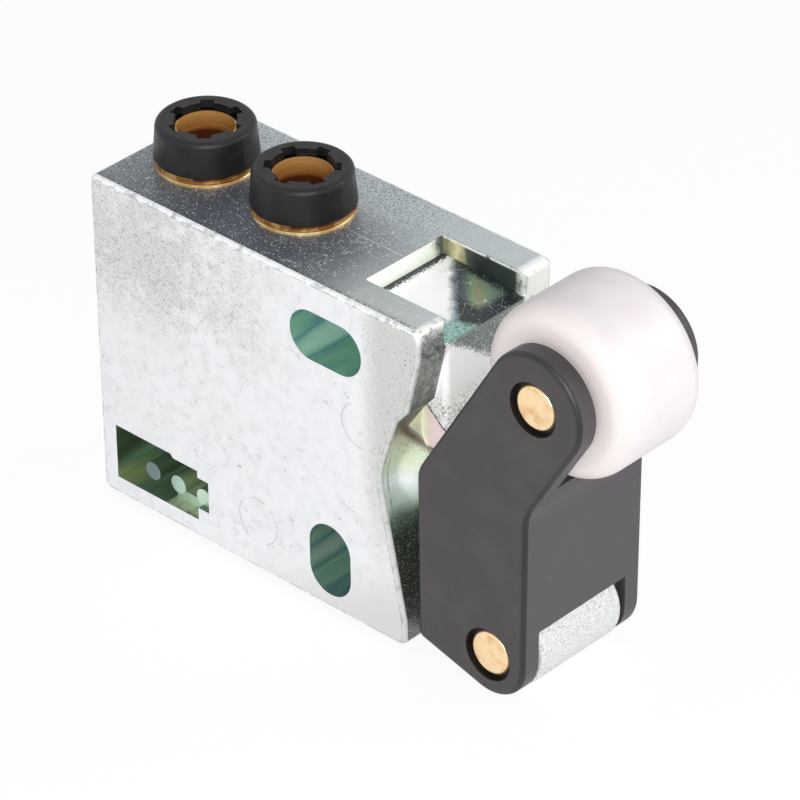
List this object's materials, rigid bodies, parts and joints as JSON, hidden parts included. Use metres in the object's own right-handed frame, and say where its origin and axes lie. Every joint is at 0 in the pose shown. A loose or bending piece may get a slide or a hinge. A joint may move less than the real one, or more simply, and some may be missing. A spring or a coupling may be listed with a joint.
{
  "type": "roller lever air valve",
  "caption": "Die-cast air valve with a sprung roller lever on its front and push-in tube ports on its top.",
  "frame": {"origin": "centre of the body's flat bottom face, midway between its back face and the front of its foot", "axes": "+X from the back of the body towards the roller, +Y across the body away from the side with the cored window, +Z from the bottom face up to the tube ports"},
  "size_m": [0.0528, 0.0148, 0.035],
  "materials": {
    "zinc_casting": "bare die-cast zinc, satin with fine pits and stains",
    "brass": "turned brass, bright",
    "black_plastic": "moulded plastic, satin",
    "charcoal_plastic": "moulded glass-filled plastic, satin",
    "white_plastic": "natural nylon, slightly translucent",
    "seal_rubber": "nitrile rubber",
    "spring_steel": "drawn wire"
  },
  "bodies": {
    "valve_body": {"body_casting": "zinc_casting", "port_sleeve_rear": "brass", "port_sleeve_front": "brass", "sleeve_seal_rear": "seal_rubber", "sleeve_seal_front": "seal_rubber", "tube_seal_rear": "seal_rubber", "tube_seal_front": "seal_rubber", "seat_bush": "brass", "seat_bush_seal": "seal_rubber", "poppet_spring": "spring_steel", "return_spring": "spring_steel", "guide_bush": "brass", "pivot_pin": "brass"},
    "lever": {"roller_lever": "charcoal_plastic", "roller_pin": "brass"},
    "lever_roller": {"roller": "white_plastic"},
    "plunger_stem": {"plunger": "brass", "plunger_seal": "seal_rubber"},
    "poppet_disc": {"poppet": "brass", "poppet_pad": "seal_rubber"},
    "rear_release": {"release_button_rear": "black_plastic", "tube_collet_rear": "brass"},
    "front_release": {"release_button_front": "black_plastic", "tube_collet_front": "brass"}
  },
  "joints": [
    {"name": "lever_swing", "type": "hinge", "parent": "valve_body", "child": "lever", "pos_m": [0.0246, 0, 0.00295], "axis": [0, -1, 0], "range_deg": [0, 7.5], "stiffness_Nm_per_rad": 0.2, "springref_deg": -11.46},
    {"name": "roller_spin", "type": "hinge", "parent": "lever", "child": "lever_roller", "pos_m": [0.02912, 0, 0.02715], "axis": [0, 1, 0], "continuous": true},
    {"name": "plunger_slide", "type": "slide", "parent": "valve_body", "child": "plunger_stem", "axis": [-1, 0, 0], "range_m": [0, 0.00156]},
    {"name": "poppet_slide", "type": "slide", "parent": "valve_body", "child": "poppet_disc", "axis": [-1, 0, 0], "range_m": [0, 0.00128]},
    {"name": "rear_release_slide", "type": "slide", "parent": "valve_body", "child": "rear_release", "axis": [0, 0, -1], "range_m": [0, 0.00045], "stiffness_N_per_m": 2000, "springref_m": -0.0005},
    {"name": "front_release_slide", "type": "slide", "parent": "valve_body", "child": "front_release", "axis": [0, 0, -1], "range_m": [0, 0.00045], "stiffness_N_per_m": 2000, "springref_m": -0.0005}
  ],
  "couplings": [
    {"joint": "plunger_slide", "follows": "lever_swing", "m_per_rad": 0.0117},
    {"joint": "poppet_slide", "follows": "lever_swing", "m_per_rad": 0.00956}
  ]
}
